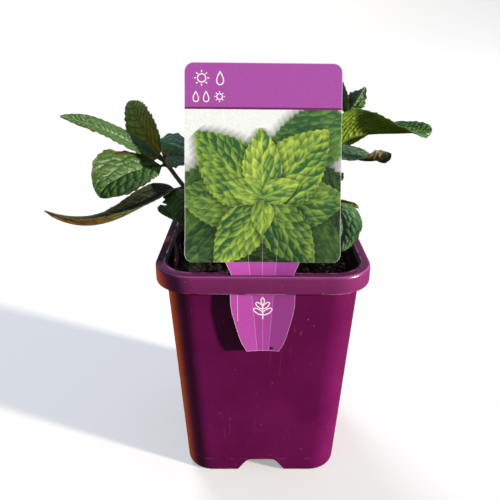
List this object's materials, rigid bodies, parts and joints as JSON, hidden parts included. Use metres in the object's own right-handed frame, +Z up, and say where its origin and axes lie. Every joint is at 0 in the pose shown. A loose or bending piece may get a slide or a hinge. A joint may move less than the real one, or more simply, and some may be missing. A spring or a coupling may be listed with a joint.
{
  "type": "potted mint plant",
  "caption": "Young mint plant in a square tapered plastic nursery pot, with a leaning plant label held in the rim's slot.",
  "frame": {"origin": "on the pot's axis, on the surface that the pot stands on", "axes": "+Z up, -Y towards the side with the label, +X to the right when the label is seen from the front"},
  "size_m": [0.1731, 0.1214, 0.2061],
  "materials": {
    "pot_plastic": "injection-moulded polypropylene, dark magenta, satin gloss",
    "potting_mix": "damp crumbly peat and bark, stands in for soil",
    "label_card": "printed thin polystyrene sheet, orchid purple, semi-gloss",
    "mint_leaf": "living leaf, quilted, slight sheen, stands in for foliage"
  },
  "bodies": {
    "root": {"pot": "pot_plastic", "potting_mix": "potting_mix", "plant_label": "label_card", "mint_shoot_left": "mint_leaf", "mint_shoot_right": "mint_leaf", "mint_shoot_front_right": "mint_leaf", "mint_shoot_back": "mint_leaf", "mint_shoot_middle": "mint_leaf", "mint_shoot_back_left": "mint_leaf", "mint_shoot_back_right": "mint_leaf"}
  },
  "joints": []
}
